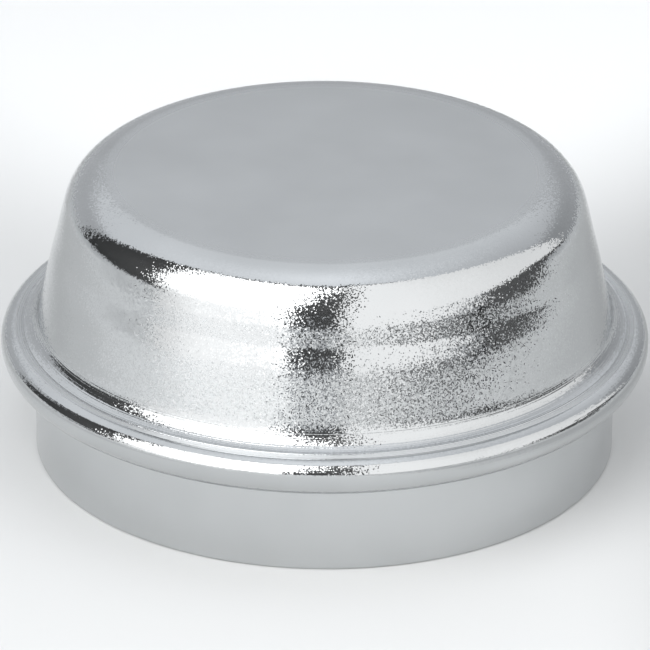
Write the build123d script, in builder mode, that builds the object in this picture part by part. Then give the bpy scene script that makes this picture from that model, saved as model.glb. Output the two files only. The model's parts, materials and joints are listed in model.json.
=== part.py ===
from build123d import *
from math import radians, tan
import os

# Grease cap for a wheel hub, drawn and folded from one disc of steel sheet.
# It stands on the rim of its skirt at Z = 0, with its axis on Z.
# Lengths are in millimetres and angles in degrees.

# Sheet and skirt
sheet = 1.0  # thickness of the steel, the same all along the section
skirt_diameter = 55.5  # outside of the skirt, pressed into the hub's bore
skirt_height = 8.7  # from the rim up to the bead's underside
rim_edge_radius = 0.25  # rounding of the rim's outer edge, which enters the bore first

# Folded bead that seats on the face of the hub
bead_overhang = 3.25  # how far the bead stands out from the skirt
bead_gap = 1.74  # space left between the bead's two layers of sheet
bead_fall = 1.0  # slope of the bead's upper layer, down towards its edge
fold_upper_radius = 0.42  # inside radius of the fold's upper corner
fold_land = 0.12  # straight stretch between the fold's two corners
root_radius = 0.4  # outside radius where the skirt turns into the bead

# Crown
crown_height = 15.76  # from the bead's upper edge to the middle of the top
wall_taper = 13.4  # lean of the crown's wall from upright
foot_radius = 1.7  # outside radius where the bead turns up into the wall
shoulder_radius = 4.25  # outside radius between the wall and the top
top_rise = 0.2  # how far the crowned top swells above its own edge

# Levels and radii of the outer skin, worked out from the sizes above
skirt_radius = skirt_diameter / 2
bead_radius = skirt_radius + bead_overhang
bead_edge_height = skirt_height + 2 * sheet + bead_gap
foot_height = bead_edge_height + bead_overhang * tan(radians(bead_fall))
cap_height = bead_edge_height + crown_height
shoulder_height = cap_height - top_rise
wall_run_in = (shoulder_height - foot_height) * tan(radians(wall_taper))

# Corners of the outer skin, from the top outwards and down, as (radius, height)
apex = (0, cap_height)
shoulder = (skirt_radius - wall_run_in, shoulder_height)
foot = (skirt_radius, foot_height)
fold_upper = (bead_radius, bead_edge_height)
fold_lower = (bead_radius, skirt_height)
root = (skirt_radius, skirt_height)
rim = (skirt_radius, 0)
rim_centre = (0, 0)

# The fold's lower corner takes up what its upper corner leaves of the gap
fold_lower_radius = bead_gap - fold_upper_radius - fold_land

# Outside radius of each bend in the sheet
bends = (
    (shoulder, shoulder_radius),
    (foot, foot_radius),
    (fold_upper, sheet + fold_upper_radius),
    (fold_lower, sheet + fold_lower_radius),
    (root, root_radius),
)

with BuildPart() as grease_cap:
    # Half of the outline: the crowned top, then the skin from bend to bend down to the rim
    with BuildSketch(Plane.XZ):
        with BuildLine() as outline:
            TangentArc(apex, shoulder, tangent=(1, 0))
            Polyline(shoulder, foot, fold_upper, fold_lower, root, rim)
            for corner, bend_radius in bends:
                fillet(outline.vertices().sort_by_distance(corner)[0], bend_radius)
            Polyline(rim, rim_centre, apex)
        make_face()
    revolve(axis=Axis.Z)

    # Hollowed to the thickness of the sheet, open at the rim, so the bead becomes a fold
    mouth = grease_cap.faces().sort_by(Axis.Z)[0]
    offset(amount=-sheet, openings=mouth)

    # The cut edge of the sheet, eased on the outside
    rim_edges = grease_cap.edges().filter_by(GeomType.CIRCLE).group_by(Axis.Z)[0]
    fillet(rim_edges.sort_by(SortBy.RADIUS)[-1], rim_edge_radius)

grease_cap.part.label = "grease_cap"

os.makedirs("parts", exist_ok=True)
export_step(grease_cap.part, "parts/grease_cap.step")
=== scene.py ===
import json
import logging
from dataclasses import dataclass, field, fields
from enum import Enum

import bpy
import numpy as np
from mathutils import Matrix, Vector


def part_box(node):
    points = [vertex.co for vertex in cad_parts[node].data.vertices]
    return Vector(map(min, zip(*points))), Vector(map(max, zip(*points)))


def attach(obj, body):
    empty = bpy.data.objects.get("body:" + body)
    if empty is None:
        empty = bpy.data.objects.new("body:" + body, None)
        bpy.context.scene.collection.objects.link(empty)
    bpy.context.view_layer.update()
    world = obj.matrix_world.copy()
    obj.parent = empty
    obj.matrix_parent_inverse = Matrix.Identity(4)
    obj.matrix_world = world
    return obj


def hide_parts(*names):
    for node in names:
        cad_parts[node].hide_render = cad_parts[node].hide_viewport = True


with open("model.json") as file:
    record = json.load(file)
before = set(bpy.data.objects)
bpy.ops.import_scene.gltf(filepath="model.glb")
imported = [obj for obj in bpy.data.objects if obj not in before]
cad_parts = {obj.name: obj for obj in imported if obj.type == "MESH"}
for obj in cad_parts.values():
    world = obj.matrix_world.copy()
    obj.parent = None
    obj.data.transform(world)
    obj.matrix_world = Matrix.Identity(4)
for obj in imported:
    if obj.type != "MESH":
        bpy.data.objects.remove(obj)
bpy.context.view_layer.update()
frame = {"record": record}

MM = 0.001  # metres in a millimetre
TINY = 1e-6  # points this near, in mm, are one point, and a sine that divides is at least this
BEYOND = 1e5  # farther off or higher than anything in the studio, in mm
Marks = dict[str, bpy.types.NodeSocket]  # a piece's attributes in its material, by name
log = logging.getLogger("grease_cap")


def linear(hex_colour: str) -> tuple[float, float, float, float]:
    """Turns an sRGB hex colour into linear light.

    Args:
        hex_colour: Six hex digits after a hash sign.

    Returns:
        Linear red, green and blue, and an alpha of 1.
    """
    srgb = np.array([int(hex_colour[i:i + 2], 16) for i in (1, 3, 5)]) / 255
    # The sRGB standard's own curve, straight near black and a power above
    light = np.where(srgb <= 0.04045, srgb / 12.92, ((srgb + 0.055) / 1.055) ** 2.4)
    return (*(float(value) for value in light), 1.0)


def add_node(
    tree: bpy.types.NodeTree, kind: str, inputs: dict | None = None, **settings: object
) -> bpy.types.Node:
    """Adds one node, sets its properties and fills its inputs.

    Args:
        tree: The node tree that gets the node.
        kind: Blender's name for the kind of node.
        inputs: Values by input name or number. A socket is linked, any other value is set.
        settings: Properties of the node itself.

    Returns:
        The new node.
    """
    node = tree.nodes.new(kind)
    for name, value in settings.items():
        setattr(node, name, value)
    for key, value in (inputs or {}).items():
        if isinstance(value, bpy.types.NodeSocket):
            tree.links.new(value, node.inputs[key])
        else:
            node.inputs[key].default_value = value
    return node


def blank_material(name: str) -> tuple[bpy.types.Material, bpy.types.NodeTree, bpy.types.Node]:
    """Makes a material that holds only its output node.

    Args:
        name: The real material's name.

    Returns:
        The material, its node tree and its output node.
    """
    material = bpy.data.materials.new(name)
    material.use_nodes = True
    tree = material.node_tree
    tree.nodes.clear()
    return material, tree, tree.nodes.new("ShaderNodeOutputMaterial")


def lay_mesh(name: str, points: np.ndarray, faces: list, smooth: bool) -> bpy.types.Object:
    """Puts points and faces into a new mesh object at the origin.

    Args:
        name: Name of the object and of its mesh.
        points: Points in metres, one row each.
        faces: Lists of point numbers, one for each face.
        smooth: Whether the faces are shaded smooth.

    Returns:
        The object, linked to the scene.
    """
    mesh = bpy.data.meshes.new(name)
    mesh.from_pydata(points.tolist(), [], faces)
    mesh.polygons.foreach_set("use_smooth", np.full(len(mesh.polygons), smooth))
    mesh.update()
    piece = bpy.data.objects.new(name, mesh)
    bpy.context.scene.collection.objects.link(piece)
    return piece


def grid_faces(rows: int, columns: int, closed: bool) -> np.ndarray:
    """Numbers the four-sided faces of a grid of points.

    Face (i, j) joins point (i, j) to (i + 1, j), (i + 1, j + 1) and (i, j + 1), where a point's
    number is i * columns + j.

    Args:
        rows: Rows of points.
        columns: Points in each row.
        closed: Whether each row is a ring, so that its last point meets its first.

    Returns:
        One row of four point numbers for each face.
    """
    i = np.arange(rows - 1)[:, None]
    j = np.arange(columns if closed else columns - 1)[None, :]
    after = (j + 1) % columns
    corners = (i * columns + j, (i + 1) * columns + j, (i + 1) * columns + after, i * columns + after)
    return np.stack([np.broadcast_to(c, (rows - 1, j.size)) for c in corners], -1).reshape(-1, 4)


class Zone(Enum):
    """A zone of the cap's skin, from the middle of its top to the rim and back inside."""

    TOP = "top"
    SHOULDER = "shoulder"
    WALL = "wall"
    FOOT = "foot"
    BEAD = "bead"
    NOSE = "nose"
    SEAT = "seat"
    SKIRT = "skirt"
    RIM = "rim"
    INSIDE = "inside"


@dataclass(frozen=True)
class Stretch:
    """A stretch of the sheet's skin, as points of its section and the skin's normals there.

    Attributes:
        zone: Zone of the skin that it belongs to.
        points: Radius and height of each point, in mm.
        normals: Unit vectors out of the metal.
    """

    zone: Zone
    points: np.ndarray
    normals: np.ndarray

    @classmethod
    def straight(cls, zone: Zone, start: np.ndarray, end: np.ndarray, step: float) -> "Stretch":
        """Runs straight from start to end, point = start + t (end - start).

        Args:
            zone: Zone of the skin.
            start: First point.
            end: Last point.
            step: Longest distance between points.

        Returns:
            The stretch, with its normal to the left of the way it runs.
        """
        along = end - start
        length = np.hypot(*along)
        t = np.linspace(0, 1, int(np.ceil(length / step)) + 1)[:, None]
        normal = np.array([-along[1], along[0]]) / length
        return cls(zone, start + t * along, np.tile(normal, (t.size, 1)))

    @classmethod
    def bend(
        cls, zone: Zone, centre: np.ndarray, radius: float, turn: tuple[float, float], step: float
    ) -> "Stretch":
        """Bends round a centre, point = centre + radius (cos a, sin a).

        Args:
            zone: Zone of the skin.
            centre: Middle of the bend.
            radius: Radius of the skin, negative where the skin is hollow.
            turn: Angles of the normal at the start and the end, in degrees.
            step: Largest turn between points, in degrees.

        Returns:
            The stretch, with its normal at angle a.
        """
        count = int(np.ceil(abs(turn[1] - turn[0]) / step)) + 1
        a = np.radians(np.linspace(*turn, count))
        normals = np.stack([np.cos(a), np.sin(a)], -1)
        return cls(zone, centre + radius * normals, normals)


@dataclass(frozen=True)
class Skin:
    """Points along the sheet's skin, one row each.

    Attributes:
        points: Radius and height, in mm.
        normals: Unit vectors out of the metal.
        zones: Zone of each point.
    """

    points: np.ndarray
    normals: np.ndarray
    zones: np.ndarray

    @classmethod
    def joined(cls, stretches: list[Stretch]) -> "Skin":
        """Joins stretches end to end, and drops each point that repeats the one before it.

        Args:
            stretches: The stretches, in order along the skin.

        Returns:
            The skin, with no point twice in a row.
        """
        points = np.concatenate([stretch.points for stretch in stretches])
        normals = np.concatenate([stretch.normals for stretch in stretches])
        zones = np.concatenate([np.full(len(stretch.points), stretch.zone) for stretch in stretches])
        fresh = np.r_[True, np.hypot(*np.diff(points, axis=0).T) > TINY]
        return cls(points[fresh], normals[fresh], zones[fresh])

    def run(self) -> np.ndarray:
        """Gives the distance along the skin from its first point, in mm."""
        return np.r_[0, np.cumsum(np.hypot(*np.diff(self.points, axis=0).T))]


@dataclass(frozen=True)
class LeanMark:
    """A level of the crown's wall where the drawing tools left it leaning a little otherwise.

    Attributes:
        height: Height above the rim, in mm.
        lean: Change of the wall's lean there, in degrees, positive where it leans in more.
    """

    height: float
    lean: float


@dataclass
class SheetSection:
    """The section of the drawn sheet, from the middle of its top to the rim and back inside.

    Lengths are in mm and angles in degrees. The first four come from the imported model.

    Attributes:
        cap_height: Height of the middle of the top.
        bead_radius: Radius of the bead's edge.
        skirt_radius: Outside radius of the skirt.
        seat_height: Height of the bead's underside.
        sheet: Thickness of the sheet.
        bead_thickness: Height of the bead's edge, from its underside to its upper face.
        bead_fall: Slope of the bead's upper face, down towards its edge.
        nose_upper_radius: Outside radius of the fold's upper bend.
        nose_lower_radius: Outside radius of the fold's lower bend.
        root_radius: Outside radius where the skirt turns into the bead.
        foot_radius: Outside radius where the bead turns up into the wall.
        wall_taper: Lean of the wall from upright.
        shoulder_radius: Outside radius between the wall and the top.
        top_rise: How far the crowned top swells above its own edge.
        rim_edge_radius: Rounding of the rim's outer edge.
        burr_radius: Rounding of the rim's inner edge.
        bend_step: Largest turn between points on a large bend.
        root_step: The same on the root's small bend.
        rim_step: The same on the rim's outer edge.
        burr_step: The same on the rim's inner edge.
        straight_step: Longest distance between points on the bead's straight stretches.
        skirt_step: The same on the skirt.
        wall_step: The same on the wall, which carries the draw marks.
        top_step: The same on the top.
        ridge_start: Radius where the first of the bead's turned ridges starts.
        ridge_pitch: Width of one ridge.
        ridge_height: Height of the ridges.
        ridge_count: Number of ridges.
        ridge_step: Longest distance between points where the ridges are.
        inner_every: How many points of the outer skin go to one of the inner skin.
        lean_marks: Marks of the drawing tools on the wall, from its foot up.
    """

    cap_height: float
    bead_radius: float
    skirt_radius: float
    seat_height: float
    sheet: float = 1.0
    bead_thickness: float = 3.74
    bead_fall: float = 1.0
    nose_upper_radius: float = 1.42
    nose_lower_radius: float = 2.2
    root_radius: float = 0.4
    foot_radius: float = 1.7
    wall_taper: float = 13.4
    shoulder_radius: float = 4.25
    top_rise: float = 0.2
    rim_edge_radius: float = 0.25
    burr_radius: float = 0.08
    bend_step: float = 2.5
    root_step: float = 5.0
    rim_step: float = 10.0
    burr_step: float = 20.0
    straight_step: float = 0.25
    skirt_step: float = 0.5
    wall_step: float = 0.15
    top_step: float = 0.8
    ridge_start: float = 28.77
    ridge_pitch: float = 0.21
    ridge_height: float = 0.07
    ridge_count: int = 4
    ridge_step: float = 0.03
    inner_every: int = 3
    lean_marks: tuple[LeanMark, ...] = (
        LeanMark(12.9, 0.0),
        LeanMark(13.9, 0.6),
        LeanMark(14.4, 0.3),
        LeanMark(14.8, -1.0),
        LeanMark(18.4, -1.2),
        LeanMark(19.4, -0.6),
        LeanMark(19.9, 0.65),
        LeanMark(21.5, 0.95),
        LeanMark(21.8, -0.95),
        LeanMark(23.3, -0.95),
        LeanMark(23.6, 0.6),
        LeanMark(24.6, 0.9),
        LeanMark(25.4, 0.0),
    )

    @classmethod
    def from_frame(cls) -> "SheetSection":
        """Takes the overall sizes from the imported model's box and its mounts.

        Returns:
            The section, with its other sizes as they stand here.
        """
        low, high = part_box("grease_cap")
        mounts = {mount["name"]: mount for mount in frame["record"]["mounts"]}
        return cls(
            cap_height=(high.z - low.z) / MM,
            bead_radius=(high.x - low.x) / 2 / MM,
            skirt_radius=mounts["skirt"]["dims"]["r_mm"],
            seat_height=mounts["bead_seat"]["pos_m"][2] / MM,
        )

    def crown(self, foot: np.ndarray) -> list[Stretch]:
        """Works out the crowned top and the shoulder that joins it to the wall.

        The top is an arc about a centre on the axis. The shoulder's centre lies on the wall's line,
        moved in by the shoulder's radius, at the distance from the top's centre that is the
        difference of the two radii.

        Args:
            foot: Corner where the wall's line meets the bead's upper face.

        Returns:
            The top and the shoulder.
        """
        lean = np.radians(self.wall_taper)
        out = np.array([np.cos(lean), np.sin(lean)])
        up = np.array([-np.sin(lean), np.cos(lean)])
        edge_height = self.cap_height - self.top_rise
        edge_radius = foot[0] - (edge_height - foot[1]) * np.tan(lean)
        top_radius = (edge_radius**2 + self.top_rise**2) / (2 * self.top_rise)
        top_centre = np.array([0.0, self.cap_height - top_radius])
        start = out * (foot @ out - self.shoulder_radius)
        offset = start - top_centre
        half = up @ offset
        reach = top_radius - self.shoulder_radius
        centre = start + up * (np.sqrt(half**2 - offset @ offset + reach**2) - half)
        edge_angle = np.degrees(np.arctan2(*(centre - top_centre)[::-1]))
        top_turn = np.degrees(self.top_step / top_radius)
        turn = (edge_angle, self.wall_taper)
        return [
            Stretch.bend(Zone.TOP, top_centre, top_radius, (90.0, edge_angle), top_turn),
            Stretch.bend(Zone.SHOULDER, centre, self.shoulder_radius, turn, self.bend_step),
        ]

    def fold(self, foot: np.ndarray, edge_height: float) -> list[Stretch]:
        """Works out the bends of the bead: its foot on the wall, its nose and its root on the skirt.

        Each centre lies off its corner by the bend's radius along both skins that meet there.

        Args:
            foot: Corner where the wall's line meets the bead's upper face.
            edge_height: Height of the bead's upper face at its edge.

        Returns:
            The foot, the nose's upper and lower bends, and the root.
        """
        wall_angle, bead_angle = self.wall_taper, 90 - self.bead_fall
        half_turn = np.radians(bead_angle - wall_angle) / 2
        middle = np.radians((bead_angle + wall_angle) / 2)
        foot_reach = self.foot_radius / np.cos(half_turn)
        foot_centre = foot + foot_reach * np.array([np.cos(middle), np.sin(middle)])
        fall = np.radians(self.bead_fall)
        upper, lower, root = self.nose_upper_radius, self.nose_lower_radius, self.root_radius
        drop = upper / np.cos(fall) - upper * np.tan(fall)
        upper_centre = np.array([self.bead_radius - upper, edge_height - drop])
        lower_centre = np.array([self.bead_radius - lower, self.seat_height + lower])
        root_centre = np.array([self.skirt_radius + root, self.seat_height - root])
        step, fine = self.bend_step, np.degrees(self.ridge_step / self.foot_radius)
        return [
            Stretch.bend(Zone.FOOT, foot_centre, -self.foot_radius, (wall_angle, bead_angle), fine),
            Stretch.bend(Zone.NOSE, upper_centre, upper, (bead_angle, 0.0), step),
            Stretch.bend(Zone.NOSE, lower_centre, lower, (0.0, -90.0), step),
            Stretch.bend(Zone.SEAT, root_centre, -root, (-90.0, 0.0), self.root_step),
        ]

    def outer_skin(self) -> Skin:
        """Follows the outer skin from the middle of the top to the rim, bend after bend.

        Returns:
            The skin, with the wall's marks in it.
        """
        edge_height = self.seat_height + self.bead_thickness
        rise = (self.bead_radius - self.skirt_radius) * np.tan(np.radians(self.bead_fall))
        foot_corner = np.array([self.skirt_radius, edge_height + rise])
        top, shoulder = self.crown(foot_corner)
        foot, upper, lower, root = self.fold(foot_corner, edge_height)
        rim = np.array([self.skirt_radius, self.rim_edge_radius])
        step = self.straight_step
        skin = Skin.joined([
            top,
            shoulder,
            Stretch.straight(Zone.WALL, shoulder.points[-1], foot.points[0], self.wall_step),
            foot,
            Stretch.straight(Zone.BEAD, foot.points[-1], upper.points[0], self.ridge_step),
            upper,
            Stretch.straight(Zone.NOSE, upper.points[-1], lower.points[0], step),
            lower,
            Stretch.straight(Zone.SEAT, lower.points[-1], root.points[0], step),
            root,
            Stretch.straight(Zone.SKIRT, root.points[-1], rim, self.skirt_step),
        ])
        lift = self.wall_lift(skin.points[:, 1])
        return Skin(skin.points + lift[:, None] * skin.normals, skin.normals, skin.zones)

    def wall_lift(self, heights: np.ndarray, levels: int = 400, blur: int = 11) -> np.ndarray:
        """Adds up the wall's changes of lean into how far its skin stands out of the plain cone.

        The skin at a height stands out by the sum of tan(lean) over the heights above it, less the
        part of that sum that would move the wall's foot.

        Args:
            heights: Heights of the skin's points, in mm.
            levels: Levels that the sum is worked out at.
            blur: Levels over which a change of lean is spread.

        Returns:
            How far each point moves along its normal, in mm.
        """
        marks = self.lean_marks
        level = np.linspace(marks[0].height, marks[-1].height, levels)
        lean = np.interp(level, [mark.height for mark in marks], [mark.lean for mark in marks])
        window = np.hanning(blur)
        slope = np.tan(np.radians(np.convolve(lean, window / window.sum(), "same")))
        below = np.r_[0, np.cumsum((slope[1:] + slope[:-1]) / 2 * np.diff(level))]
        lift = below[-1] * (level - level[0]) / (level[-1] - level[0]) - below
        return np.interp(heights, level, lift, left=0.0, right=0.0)

    def ring_lift(self, skin: Skin) -> np.ndarray:
        """Raises the fine turned ridges on the bead's upper face.

        A point at radius r stands up by height * (1 - cos(2 pi (r - start) / pitch)) / 2.

        Args:
            skin: The plain outer skin.

        Returns:
            How far each point moves along its normal, in mm.
        """
        turn = (skin.points[:, 0] - self.ridge_start) / self.ridge_pitch
        ring = np.isin(skin.zones, (Zone.FOOT, Zone.BEAD)) & (turn > 0) & (turn < self.ridge_count)
        return np.where(ring, self.ridge_height * (1 - np.cos(2 * np.pi * turn)) / 2, 0.0)

    def outline(self) -> Skin:
        """Closes the section: the outer skin, the cut edge at the rim, then the inner skin.

        The inner skin is the outer one without its ridges, moved by the sheet's thickness against its
        normal and with fewer points. It ends a little above the rounded inner edge of the rim.

        Returns:
            The whole outline, from the axis outside to the axis inside.
        """
        outer = self.outer_skin()
        edge, burr = self.rim_edge_radius, self.burr_radius
        edge_centre = np.array([self.skirt_radius - edge, edge])
        burr_centre = np.array([self.skirt_radius - self.sheet + burr, burr])
        ridged = outer.points + self.ring_lift(outer)[:, None] * outer.normals
        backwards = slice(None, None, -self.inner_every)
        inner = (outer.points - self.sheet * outer.normals)[backwards]
        above = inner[:, 1] > 2 * burr
        rest = Skin.joined([
            Stretch.bend(Zone.RIM, edge_centre, edge, (0.0, -90.0), self.rim_step),
            Stretch.bend(Zone.RIM, burr_centre, burr, (-90.0, -180.0), self.burr_step),
            Stretch(Zone.INSIDE, inner[above], -outer.normals[backwards][above]),
        ])
        points = np.concatenate([ridged, rest.points[1:]])
        points[[0, -1], 0] = 0.0
        normals = np.concatenate([outer.normals, rest.normals[1:]])
        return Skin(points, normals, np.concatenate([outer.zones, rest.zones[1:]]))


@dataclass(frozen=True)
class ZoneFinish:
    """How the drawing tools left one zone of the skin, and how much brighter its plating is painted.

    Attributes:
        peel: Share of the orange peel and of the facets in its grain.
        roughness: Roughness of the plating between the marks.
        ripple: Share of the ripples that run with the draw, from the top down.
        lines: Share of the fine lines that run round the cap.
        painted_brightening: How much brighter the plating's colour is painted than on the wall, a painted
            brightening that stands in for more light on the zone, where 0.5 gives the bright colour nearly
            all over.
    """

    peel: float
    roughness: float
    ripple: float = 0.0
    lines: float = 0.0
    painted_brightening: float = 0.0


@dataclass(frozen=True)
class ZincPlate:
    """Bright zinc electroplate on drawn steel.

    The plating is a thin bright metal that copies the skin under it. Drawing stretches that skin
    into an orange peel where the sheet ran over the tools, and leaves fine lines round the bead.
    The top is hardly stretched and keeps the satin of the rolled sheet. The bead and the skirt get
    a brighter plating colour, a painted brightening that stands in for more light falling on them.
    The eye sees a cool grey mirror whose edges break up into specks.

    The real grain is finer than the picture can show, so its facets, peel and lines are drawn
    coarser, about one to four pixels wide.

    Attributes:
        colour: Plating at the bright end of its clouds, and where its colour is painted brighter.
        thin_colour: Plating at the dull end of its clouds, with no painted brightening.
        cloud_size: Size of the clouds in the plating's colour, in mm.
        peel_size: Width of one bump of the orange peel, in mm.
        peel_height: Height of the peel, in mm.
        facet_size: Width of one facet of the skin's grain, in mm.
        facet_tilt: Tilt of a middling facet, as a slope.
        line_spacing: Distance between the fine lines, in mm.
        line_depth: Depth of the lines, in mm.
        zones: How each zone of the skin was left.
        blend: Distance over which one zone runs into the next, in mm.
    """

    colour: str = "#CDCFD0"
    thin_colour: str = "#BDBFC0"
    cloud_size: float = 9.0
    peel_size: float = 0.35
    peel_height: float = 0.003
    facet_size: float = 0.11
    facet_tilt: float = 0.04
    line_spacing: float = 0.2
    line_depth: float = 0.02
    zones: dict[Zone, ZoneFinish] = field(default_factory=lambda: {
        Zone.TOP: ZoneFinish(peel=0.25, roughness=0.28),
        Zone.SHOULDER: ZoneFinish(peel=0.5, ripple=1.0, roughness=0.06),
        Zone.WALL: ZoneFinish(peel=0.62, ripple=0.6, roughness=0.06),
        Zone.FOOT: ZoneFinish(peel=1.0, ripple=0.8, lines=1.6, roughness=0.08),
        # On the bead and the skirt the plating colour is painted brighter, standing in for more light on
        # them
        Zone.BEAD: ZoneFinish(peel=0.4, painted_brightening=0.5, roughness=0.41),
        Zone.NOSE: ZoneFinish(peel=0.75, ripple=0.8, lines=0.6, roughness=0.08),
        Zone.SEAT: ZoneFinish(peel=0.5, lines=0.3, roughness=0.12),
        Zone.SKIRT: ZoneFinish(peel=0.4, painted_brightening=0.35, roughness=0.2),
        Zone.RIM: ZoneFinish(peel=0.4, roughness=0.25),
        Zone.INSIDE: ZoneFinish(peel=0.8, roughness=0.2),
    })
    blend: float = 0.3

    def marks(self, skin: Skin) -> dict[str, np.ndarray]:
        """Spreads the zones' finishes along the skin, each a mean weighted by exp(-(gap / blend)^2).

        Args:
            skin: The closed outline of the sheet.

        Returns:
            The run along the skin and each field of its finishes, by the name of their attribute.
        """
        run = skin.run()
        finishes = [self.zones[zone] for zone in skin.zones]
        weight = np.exp(-(((run[:, None] - run[None, :]) / self.blend) ** 2)) * np.gradient(run)
        weight /= weight.sum(1, keepdims=True)
        spread = {"run": run}
        for mark in fields(ZoneFinish):
            spread[mark.name] = weight @ np.array([getattr(finish, mark.name) for finish in finishes])
        return spread

    def material(self) -> bpy.types.Material:
        """Builds the plating's material.

        Returns:
            The material, which reads Object coordinates and the piece's own attributes.
        """
        material, tree, output = blank_material("bright_zinc_plate")
        place = add_node(tree, "ShaderNodeTexCoord").outputs["Object"]
        names = ["run", *(mark.name for mark in fields(ZoneFinish))]
        marks = {
            name: add_node(tree, "ShaderNodeAttribute", attribute_name=name).outputs["Fac"]
            for name in names
        }
        bumpy = self.bumps(tree, place, marks)
        shader = add_node(
            tree, "ShaderNodeBsdfPrincipled",
            {
                "Base Color": self.tint(tree, place, marks),
                "Metallic": 1.0,
                "Roughness": marks["roughness"],
                "Normal": self.facets(tree, place, marks, bumpy),
            },
        )
        tree.links.new(shader.outputs["BSDF"], output.inputs["Surface"])
        return material

    def tint(
        self, tree: bpy.types.NodeTree, place: bpy.types.NodeSocket, marks: Marks
    ) -> bpy.types.NodeSocket:
        """Mixes the plating's colour, by soft clouds plus the zone's painted brightening, which stands in
        for more light there.

        Args:
            tree: The material's node tree.
            place: Object coordinates.
            marks: The piece's attributes, by name.

        Returns:
            The colour.
        """
        clouds = add_node(
            tree, "ShaderNodeTexNoise",
            {"Vector": place, "Scale": 1 / (self.cloud_size * MM), "Detail": 2.0},
        ).outputs["Fac"]
        # Soft clouds plus the painted brightening of the bead and the skirt
        clouds_and_brightening = add_node(
            tree, "ShaderNodeMath", {0: clouds, 1: marks["painted_brightening"]}, operation="ADD"
        ).outputs[0]
        return add_node(
            tree, "ShaderNodeMix",
            {"Factor": clouds_and_brightening, "A": linear(self.thin_colour), "B": linear(self.colour)},
            data_type="RGBA",
        ).outputs["Result"]

    def bumps(
        self, tree: bpy.types.NodeTree, place: bpy.types.NodeSocket, marks: Marks
    ) -> bpy.types.NodeSocket:
        """Raises the orange peel and then the fine lines, each a noise times its share in the zone.

        Args:
            tree: The material's node tree.
            place: Object coordinates.
            marks: The piece's attributes, by name.

        Returns:
            The normal of the bumpy skin.
        """
        peel = add_node(
            tree, "ShaderNodeTexNoise",
            {"Vector": place, "Scale": 1 / (self.peel_size * MM), "Detail": 1.0},
        ).outputs["Fac"]
        line_place = add_node(
            tree, "ShaderNodeMath", {0: marks["run"], 1: 1 / self.line_spacing}, operation="MULTIPLY"
        ).outputs[0]
        lines = add_node(
            tree, "ShaderNodeTexNoise", {"W": line_place, "Scale": 1.0, "Detail": 2.0},
            noise_dimensions="1D",
        ).outputs["Fac"]
        # The lines lie on the skin that the peel has already raised
        under = {}
        for pattern, name, height in ((peel, "peel", self.peel_height), (lines, "lines", self.line_depth)):
            rise = add_node(
                tree, "ShaderNodeMath", {0: pattern, 1: marks[name]}, operation="MULTIPLY"
            ).outputs[0]
            bump = add_node(
                tree, "ShaderNodeBump",
                {"Height": rise, "Distance": height * MM, "Strength": 1.0} | under,
            )
            under = {"Normal": bump.outputs["Normal"]}
        return under["Normal"]

    def facets(
        self,
        tree: bpy.types.NodeTree,
        place: bpy.types.NodeSocket,
        marks: Marks,
        bumpy: bpy.types.NodeSocket,
    ) -> bpy.types.NodeSocket:
        """Tilts the skin's grain, facet by facet.

        Each facet is a cell with a random vector t, and its slope is |t| times the middling tilt. The
        normal leans by t times the slope times the peel's share, plus the part of t that points
        round the cap times the slope times the ripple's share.

        Args:
            tree: The material's node tree.
            place: Object coordinates.
            marks: The piece's attributes, by name.
            bumpy: Normal of the skin under the grain.

        Returns:
            The normal of the grainy skin.
        """
        round_axis = add_node(
            tree, "ShaderNodeTangent", direction_type="RADIAL", axis="Z"
        ).outputs["Tangent"]
        cells = add_node(
            tree, "ShaderNodeTexVoronoi", {"Vector": place, "Scale": 1 / (self.facet_size * MM)}
        ).outputs["Color"]
        # A cell's colour goes from 0 to 1 in each channel, and its vector from -1 to 1
        tilt = add_node(
            tree, "ShaderNodeVectorMath", {0: cells, 1: (2.0, 2.0, 2.0), 2: (-1.0, -1.0, -1.0)},
            operation="MULTIPLY_ADD",
        ).outputs["Vector"]
        steepness = add_node(
            tree, "ShaderNodeVectorMath", {0: tilt}, operation="LENGTH"
        ).outputs["Value"]
        slope = add_node(
            tree, "ShaderNodeMath", {0: steepness, 1: self.facet_tilt}, operation="MULTIPLY"
        ).outputs[0]
        peel_slope, ripple_slope = (
            add_node(tree, "ShaderNodeMath", {0: slope, 1: marks[name]}, operation="MULTIPLY").outputs[0]
            for name in ("peel", "ripple")
        )
        peel_lean = add_node(
            tree, "ShaderNodeVectorMath", {0: tilt, "Scale": peel_slope}, operation="SCALE"
        ).outputs["Vector"]
        sideways = add_node(
            tree, "ShaderNodeVectorMath", {0: tilt, 1: round_axis}, operation="DOT_PRODUCT"
        ).outputs["Value"]
        ripple_lean = add_node(
            tree, "ShaderNodeMath", {0: sideways, 1: ripple_slope}, operation="MULTIPLY"
        ).outputs[0]
        lean = add_node(
            tree, "ShaderNodeVectorMath", {0: round_axis, 1: ripple_lean, 2: peel_lean},
            operation="MULTIPLY_ADD",
        ).outputs["Vector"]
        leaning = add_node(
            tree, "ShaderNodeVectorMath", {0: bumpy, 1: lean}, operation="ADD"
        ).outputs["Vector"]
        return add_node(
            tree, "ShaderNodeVectorMath", {0: leaning}, operation="NORMALIZE"
        ).outputs["Vector"]


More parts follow.
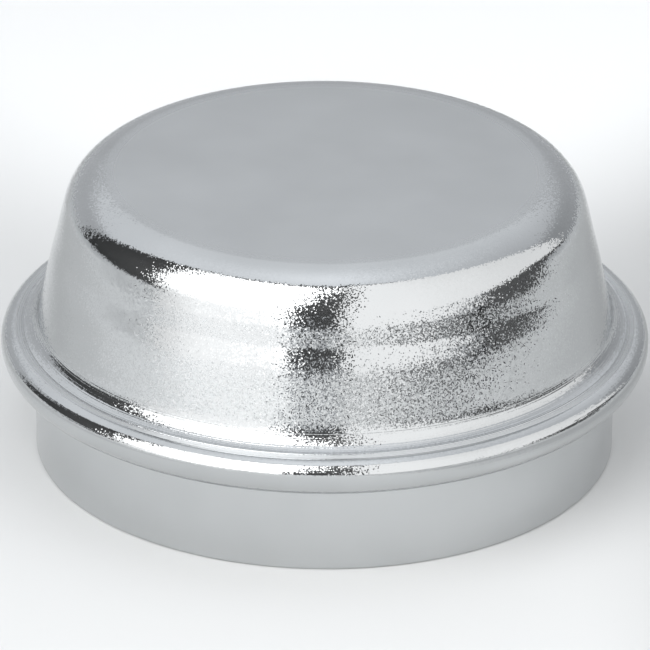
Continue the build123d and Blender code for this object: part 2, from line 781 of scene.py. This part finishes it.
@dataclass
class GreaseCap:
    """The cap itself, one sheet revolved about the hub's axis.

    Attributes:
        section: Section of the sheet.
        finish: Plating on it.
        around: Points in each ring of the mesh.
    """

    section: SheetSection
    finish: ZincPlate
    around: int = 192

    def build(self) -> bpy.types.Object:
        """Revolves the section, with point (i, j) = (r_i cos a_j, r_i sin a_j, z_i).

        The two ends of the section lie on the axis, and each is one point with a fan of triangles.

        Returns:
            The piece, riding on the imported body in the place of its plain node.
        """
        skin = self.section.outline()
        a = np.linspace(0, 2 * np.pi, self.around, endpoint=False)
        radius, height = skin.points[1:-1].T
        circle = np.stack([np.cos(a), np.sin(a)], -1)
        rings = np.empty((len(radius), self.around, 3))
        rings[..., :2] = radius[:, None, None] * circle
        rings[..., 2] = height[:, None]
        ends = np.column_stack([np.zeros((2, 2)), skin.points[[0, -1], 1]])
        points = np.concatenate([rings.reshape(-1, 3), ends])

        quads = grid_faces(len(radius), self.around, closed=True)
        outside, inside = len(points) - 2, len(points) - 1
        j = np.arange(self.around)
        after = (j + 1) % self.around
        last_ring = (len(radius) - 1) * self.around
        top_fan = np.stack([np.full_like(j, outside), j, after], -1)
        roof_fan = np.stack([np.full_like(j, inside), last_ring + after, last_ring + j], -1)
        faces = quads.tolist() + top_fan.tolist() + roof_fan.tolist()
        piece = lay_mesh("cap_plated", points * MM, faces, smooth=True)

        for name, values in self.finish.marks(skin).items():
            spread = np.r_[np.repeat(values[1:-1], self.around), values[0], values[-1]]
            layer = piece.data.attributes.new(name, "FLOAT", "POINT")
            layer.data.foreach_set("value", spread.astype(np.float32))
        piece.data.materials.append(self.finish.material())
        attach(piece, "root")
        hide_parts("grease_cap")
        return piece


class CardKind(Enum):
    """What a card of the studio is made of, each with what the bright metal shows of it."""

    SOFTBOX = "softbox_cloth"  # lit white cloth: the brightest stripe, softer towards its edges
    BOARD = "white_board"  # lit white board: a broad even white
    FLAG = "black_card"  # dark matt card: the darkest patches
    GREY_FLAG = "grey_card"  # paler matt card: softer dark patches


@dataclass(frozen=True)
class CardFinish:
    """The face of a studio card, which either shines or drinks the light.

    Attributes:
        kind: What the card is made of.
        colour: Colour of its light or of its face.
        level: Strength of its light, where 1 is white, or 0 for a card that only reflects.
        foot_level: Strength of its light at its foot.
        glow: Heights between which its light grows to full strength, in mm.
        edge_share: Share of its light that is left at its edge beside the cap.
        edge_fade: Distances in front of the cap between which the light grows from there, in mm.
    """

    kind: CardKind
    colour: str
    level: float = 0.0
    foot_level: float = 0.0
    glow: tuple[float, float] = (15.0, 130.0)
    edge_share: float = 1.0
    edge_fade: tuple[float, float] = (50.0, 220.0)

    def material(self) -> bpy.types.Material:
        """Builds the card's material, a glow that weakens to the floor or a plain matt face.

        The glow's strength is its level at that height times its share at that distance in front.

        Returns:
            The material.
        """
        material, tree, output = blank_material(self.kind.value)
        if self.level > 0:
            place = add_node(tree, "ShaderNodeTexCoord").outputs["Object"]
            parted = add_node(tree, "ShaderNodeSeparateXYZ", {"Vector": place})
            level = add_node(
                tree, "ShaderNodeMapRange",
                {
                    "Value": parted.outputs["Z"],
                    "From Min": self.glow[0] * MM, "From Max": self.glow[1] * MM,
                    "To Min": self.foot_level, "To Max": self.level,
                },
                interpolation_type="SMOOTHSTEP",
            ).outputs["Result"]
            share = add_node(
                tree, "ShaderNodeMapRange",
                {
                    "Value": parted.outputs["Y"],
                    "From Min": -self.edge_fade[0] * MM, "From Max": -self.edge_fade[1] * MM,
                    "To Min": self.edge_share, "To Max": 1.0,
                },
                interpolation_type="SMOOTHSTEP",
            ).outputs["Result"]
            strength = add_node(
                tree, "ShaderNodeMath", {0: level, 1: share}, operation="MULTIPLY"
            ).outputs[0]
            shader = add_node(
                tree, "ShaderNodeEmission", {"Color": linear(self.colour), "Strength": strength}
            )
        else:
            shader = add_node(tree, "ShaderNodeBsdfDiffuse", {"Color": linear(self.colour)})
        tree.links.new(shader.outputs[0], output.inputs["Surface"])
        return material


SOFTBOX_CLOTH = CardFinish(CardKind.SOFTBOX, "#FFFFFF", level=3.2, foot_level=1.55, edge_share=0.65)
WHITE_BOARD = CardFinish(
    CardKind.BOARD, "#FFFFFF", level=1.44, foot_level=1.44, edge_share=0.77, edge_fade=(-120.0, 260.0)
)
BLACK_CARD = CardFinish(CardKind.FLAG, "#525252")
GREY_CARD = CardFinish(CardKind.GREY_FLAG, "#606060")


@dataclass(frozen=True)
class Arch:
    """The opening in the studio's cove that the camera looks in through.

    Its height at azimuth a is crown * (1 - |a / side|^power)^(1 / crown_power), where side and power
    are those of the left or the right. Azimuths are in degrees from the camera, positive to its
    right, and elevations in degrees.

    Attributes:
        crown: Elevation of its highest point, over the camera.
        left: Azimuth of its left foot.
        right: Azimuth of its right foot.
        left_power: How square its left shoulder is.
        right_power: How square its right shoulder is.
        crown_power: How flat its crown is.
    """

    crown: float = 73.0
    left: float = -124.0
    right: float = 116.0
    left_power: float = 4.2
    right_power: float = 3.5
    crown_power: float = 1.6

    def elevation(self, azimuth: np.ndarray) -> np.ndarray:
        """Gives the arch's height, by the formula above.

        Args:
            azimuth: Azimuths, in degrees.

        Returns:
            The elevation at each of them, in degrees.
        """
        share = np.clip(np.where(azimuth < 0, azimuth / self.left, azimuth / self.right), 0, 1)
        power = np.where(azimuth < 0, self.left_power, self.right_power)
        return self.crown * (1 - share**power) ** (1 / self.crown_power)


@dataclass(frozen=True)
class Card:
    """A card or softbox that stands upright beside the cap, out of the camera's sight.

    It stands in a plane to the left or right of the cap, and bends round in front of the cap where
    that plane is farther off than it reaches. Its top follows the arch.

    Attributes:
        name: Name of the card.
        finish: Its face.
        side: Distance of its plane from the cap's axis, in mm.
        far: Greatest distance from the axis, in mm.
        left: Azimuth of its left edge at its foot, in degrees.
        right: Azimuth of its right edge at its foot, in degrees.
        left_lean: How far its left edge has moved at its top, in degrees.
        right_lean: How far its right edge has moved at its top, in degrees.
        headroom: Gap between its top and the arch, in degrees.
        foot: Height of its foot above the floor, in mm.
        right_rise: How much higher its foot is at its right edge, in mm.
        top: Height of its top, in mm, where that is below the arch.
        least_top: Lowest elevation of its top under the arch, in degrees.
    """

    name: str
    finish: CardFinish
    side: float
    far: float
    left: float
    right: float
    left_lean: float = 0.0
    right_lean: float = 0.0
    headroom: float = 0.0
    foot: float = 0.0
    right_rise: float = 0.0
    top: float = BEYOND
    least_top: float = 0.5

    def build(self, arch: Arch, eye_height: float, steps: int = 48) -> bpy.types.Object:
        """Makes the card, with point (u, v) at azimuth a, distance d and height z.

        The azimuth goes from the left edge to the right one with u, and both edges lean with v. The
        distance is side / |sin a|, and far at most. The elevation goes from the foot to the top
        with v, and the height is the eye's height plus d times the elevation's tangent.

        Args:
            arch: The opening that the card stays under.
            eye_height: Height that elevations are seen from, in mm.
            steps: Faces along each side.

        Returns:
            The card, hidden from the camera.
        """
        u, v = np.meshgrid(np.linspace(0, 1, steps + 1), np.linspace(0, 1, steps + 1))
        left = self.left + self.left_lean * v
        right = self.right + self.right_lean * v
        a = np.radians(left + u * (right - left))
        distance = np.minimum(self.side / np.maximum(np.abs(np.sin(a)), TINY), self.far)
        foot = np.arctan2(self.foot + self.right_rise * u - eye_height, distance)
        below_arch = arch.elevation(np.degrees(a)) - self.headroom
        ceiling = np.radians(np.maximum(below_arch, self.least_top))
        top = np.minimum(ceiling, np.arctan2(self.top - eye_height, distance))
        height = eye_height + distance * np.tan(foot + v * (top - foot))
        points = np.stack([distance * np.sin(a), -distance * np.cos(a), height], -1).reshape(-1, 3)
        faces = grid_faces(steps + 1, steps + 1, closed=False).tolist()
        card = lay_mesh(self.name, points * MM, faces, smooth=False)
        card.data.materials.append(self.finish.material())
        card.visible_camera = False
        return card


@dataclass
class Studio:
    """The plain studio round the cap: a pale floor, a grey cove and the cards in front.

    Attributes:
        floor_radius: Radius of the floor, in mm.
        paper: Colours of its paper, each with its place from left to right, in mm. Its greys are painted
            light and shade: a painted shadow of the cap on its right, a darker band on its left, and paler
            paper farther out where more light would fall.
        sheet_colour: Colour of a paler patch behind the cap.
        sheet_place: Middle of that patch, in mm.
        sheet_reach: Distances from its middle between which it fades into the paper, in mm.
        eye_height: Height that the cards are centred on, in mm.
        arch: Front edge of the cove.
        cove_levels: Light of the cove at sines of the elevation.
        cove_fade: Share of its light that it loses to the right.
        cove_colour: Colour of the cove's light.
        cards: The cards and softboxes.
    """

    floor_radius: float = 2400.0
    # Painted light and shade: greys for the cap's shadow on its right and a darker band on its left, paler
    # paper farther out
    paper: tuple[tuple[float, str], ...] = (
        (-180.0, "#FAFBFB"),
        (-95.0, "#DBDCDC"),
        (-64.0, "#CACBCB"),
        (-42.0, "#DBDCDC"),
        (22.0, "#DBDCDC"),
        (50.0, "#B5B6B6"),
        (80.0, "#C6C7C7"),
        (130.0, "#D6D7D7"),
        (200.0, "#F0F1F1"),
    )
    sheet_colour: str = "#FBFCFC"
    sheet_place: tuple[float, float, float] = (0.0, 105.0, 0.0)
    sheet_reach: tuple[float, float] = (35.0, 74.0)
    eye_height: float = 20.0
    arch: Arch = field(default_factory=Arch)
    cove_levels: tuple[tuple[float, float], ...] = (
        (0.0, 0.65),
        (0.2, 0.62),
        (0.37, 0.64),
        (0.43, 0.74),
        (0.49, 0.93),
        (0.6, 0.97),
        (0.7, 0.99),
        (0.84, 1.05),
        (0.94, 1.16),
        (1.0, 1.32),
    )
    cove_fade: float = 0.37
    cove_colour: str = "#F8FBFF"
    cards: tuple[Card, ...] = (
        Card("front_dark", GREY_CARD, side=BEYOND, far=1600.0, left=-124.0, right=116.0, foot=58.0),
        Card(
            "left_softbox", SOFTBOX_CLOTH, side=260.0, far=1300.0, left=-70.0, right=-15.0,
            left_lean=-14.0, right_lean=17.0, headroom=4.0, foot=2.0,
        ),
        Card(
            "right_board", WHITE_BOARD, side=200.0, far=1300.0, left=7.0, right=115.0,
            left_lean=8.0, headroom=3.0, foot=15.0, right_rise=15.0,
        ),
        Card(
            "left_flag", BLACK_CARD, side=900.0, far=1600.0, left=-124.0, right=-67.0,
            right_lean=-14.0, foot=18.0, right_rise=6.0,
        ),
        Card(
            "right_flag_low", GREY_CARD, side=199.0, far=1300.0, left=7.0, right=66.0,
            foot=7.5, right_rise=-3.0, top=15.0,
        ),
        Card(
            "right_flag", GREY_CARD, side=199.0, far=1300.0, left=56.0, right=101.0, left_lean=34.0,
            foot=7.0, right_rise=-7.0, top=50.0,
        ),
        Card(
            "right_edge", BLACK_CARD, side=199.0, far=1300.0, left=100.0, right=116.0,
            foot=30.0, top=41.0,
        ),
    )

    def matt_paper(self) -> bpy.types.Material:
        """Builds the floor's matt paper, with its painted light and shade and a paler patch behind the
        cap.

        Uncoated paper has no gloss. The eye sees a pale ground that keeps a soft shadow, and the
        paper's painted greys again in the bright metal of the wall.

        Returns:
            The material.
        """
        material, tree, output = blank_material("matt_paper")
        place = add_node(tree, "ShaderNodeTexCoord").outputs["Object"]
        # The paper's colour, with painted light and shade from left to right
        paper = self.paper_painted_shade(tree, place)
        middle = tuple(length * MM for length in self.sheet_place)
        apart = add_node(
            tree, "ShaderNodeVectorMath", {0: place, 1: middle}, operation="DISTANCE"
        ).outputs["Value"]
        near, far = self.sheet_reach
        cover = add_node(
            tree, "ShaderNodeMapRange",
            {"Value": apart, "From Min": near * MM, "From Max": far * MM, "To Min": 1.0, "To Max": 0.0},
            interpolation_type="SMOOTHSTEP",
        ).outputs["Result"]
        # A paler patch behind the cap, laid over the painted greys
        colour = add_node(
            tree, "ShaderNodeMix", {"Factor": cover, "A": paper, "B": linear(self.sheet_colour)},
            data_type="RGBA",
        ).outputs["Result"]
        shader = add_node(tree, "ShaderNodeBsdfDiffuse", {"Color": colour})
        tree.links.new(shader.outputs[0], output.inputs["Surface"])
        return material

    def paper_painted_shade(
        self, tree: bpy.types.NodeTree, place: bpy.types.NodeSocket
    ) -> bpy.types.NodeSocket:
        """Runs the paper's colour from left to right, easing from each of its greys to the next. The greys
        are painted light and shade.

        Args:
            tree: The material's node tree.
            place: Object coordinates.

        Returns:
            The colour.
        """
        across = add_node(tree, "ShaderNodeSeparateXYZ", {"Vector": place}).outputs["X"]
        first, last = self.paper[0][0], self.paper[-1][0]
        share = add_node(
            tree, "ShaderNodeMapRange", {"Value": across, "From Min": first * MM, "From Max": last * MM}
        ).outputs["Result"]
        ramp = add_node(tree, "ShaderNodeValToRGB", {"Fac": share})
        ramp.color_ramp.interpolation = "EASE"
        stops = ramp.color_ramp.elements
        for stop, (_, colour) in zip(stops, (self.paper[0], self.paper[-1])):
            stop.color = linear(colour)
        for distance, colour in self.paper[1:-1]:
            stops.new((distance - first) / (last - first)).color = linear(colour)
        return ramp.outputs["Color"]

    def lay_floor(self, rings: int = 24, around: int = 96, start: float = 0.01) -> bpy.types.Object:
        """Lays the floor, with point (i, j) = radius * t_i^2 * (cos a_j, sin a_j).

        Args:
            rings: Rings of points.
            around: Points in each ring.
            start: The innermost ring's t, where the outermost has 1.

        Returns:
            The floor.
        """
        a = np.linspace(0, 2 * np.pi, around, endpoint=False)
        r = self.floor_radius * np.linspace(start, 1, rings) ** 2
        flat = np.stack([np.outer(r, np.cos(a)), np.outer(r, np.sin(a)), np.zeros((rings, around))], -1)
        faces = grid_faces(rings, around, closed=True).tolist() + [list(range(around))]
        floor = lay_mesh("floor", flat.reshape(-1, 3) * MM, faces, smooth=False)
        floor.data.materials.append(self.matt_paper())
        return floor

    def light_cove(self) -> None:
        """Lights the cove behind and over the cap, a matt grey that brightens with height.

        Its light is the level at the sine of that elevation, times 1 - fade * x, where x points right.
        It gives the top its even grey.
        """
        world = bpy.data.worlds.new("grey_cove")
        bpy.context.scene.world = world
        world.use_nodes = True
        tree = world.node_tree
        tree.nodes.clear()
        output = tree.nodes.new("ShaderNodeOutputWorld")
        direction = add_node(tree, "ShaderNodeTexCoord").outputs["Generated"]
        parted = add_node(tree, "ShaderNodeSeparateXYZ", {"Vector": direction})
        ramp = add_node(tree, "ShaderNodeFloatCurve", {"Value": parted.outputs["Z"]})
        ramp.mapping.use_clip = False
        curve = ramp.mapping.curves[0]
        for point, (sine, level) in zip(curve.points, (self.cove_levels[0], self.cove_levels[-1])):
            point.location = (sine, level)
        for sine, level in self.cove_levels[1:-1]:
            curve.points.new(sine, level)
        ramp.mapping.update()
        share = add_node(
            tree, "ShaderNodeMath", {0: parted.outputs["X"], 1: -self.cove_fade, 2: 1.0},
            operation="MULTIPLY_ADD", use_clamp=True,
        ).outputs[0]
        strength = add_node(
            tree, "ShaderNodeMath", {0: ramp.outputs["Value"], 1: share}, operation="MULTIPLY"
        ).outputs[0]
        glow = add_node(
            tree, "ShaderNodeBackground", {"Color": linear(self.cove_colour), "Strength": strength}
        )
        tree.links.new(glow.outputs[0], output.inputs["Surface"])

    def build(self) -> None:
        """Lays the floor, lights the cove and stands the cards up."""
        floor = self.lay_floor()
        self.light_cove()
        stands = [card.build(self.arch, self.eye_height) for card in self.cards]
        for piece in (floor, *stands):
            log.info("%s has %d faces", piece.name, len(piece.data.polygons))


@dataclass(frozen=True)
class PhotoCamera:
    """The camera, where the photograph was taken from.

    Attributes:
        elevation: Height above the horizon, in degrees.
        distance: Distance from the point that it looks at, in mm.
        target_height: Height of that point on the cap's axis, in mm.
        scale: Pixels to a millimetre at that point.
        frame_size: Width and height of the picture, in pixels.
        target_pixel: Where that point lies in the picture.
        roll: Turn of the camera about its line of sight, in degrees.
        sensor: Width of the sensor, in mm.
    """

    elevation: float = 25.54
    distance: float = 605.6
    target_height: float = 12.0
    scale: float = 10.442
    frame_size: float = 650.0
    target_pixel: tuple[float, float] = (324.86, 323.86)
    roll: float = 0.33
    sensor: float = 36.0

    def place(self) -> bpy.types.Object:
        """Stands the camera up and makes it the scene's own.

        Returns:
            The camera.
        """
        lens = bpy.data.cameras.new("photo_camera")
        lens.sensor_width = self.sensor
        lens.lens = self.sensor * self.scale * self.distance / self.frame_size
        lens.shift_x = 0.5 - self.target_pixel[0] / self.frame_size
        lens.shift_y = self.target_pixel[1] / self.frame_size - 0.5
        camera = bpy.data.objects.new("photo_camera", lens)
        bpy.context.scene.collection.objects.link(camera)
        height = np.radians(self.elevation)
        camera.location = (
            0.0,
            -self.distance * np.cos(height) * MM,
            (self.target_height + self.distance * np.sin(height)) * MM,
        )
        camera.rotation_euler = (np.pi / 2 - height, 0.0, 0.0)
        camera.rotation_euler.rotate_axis("Z", np.radians(self.roll))
        bpy.context.scene.camera = camera
        return camera


def main() -> None:
    """Builds the cap, the studio and the camera."""
    logging.basicConfig(level=logging.INFO, format="%(name)s: %(message)s")
    bpy.context.scene.view_settings.view_transform = "Standard"
    PhotoCamera().place()
    cap = GreaseCap(SheetSection.from_frame(), ZincPlate()).build()
    log.info("%s has %d faces", cap.name, len(cap.data.polygons))
    Studio().build()
    bpy.context.view_layer.update()


if __name__ == "__main__":
    main()
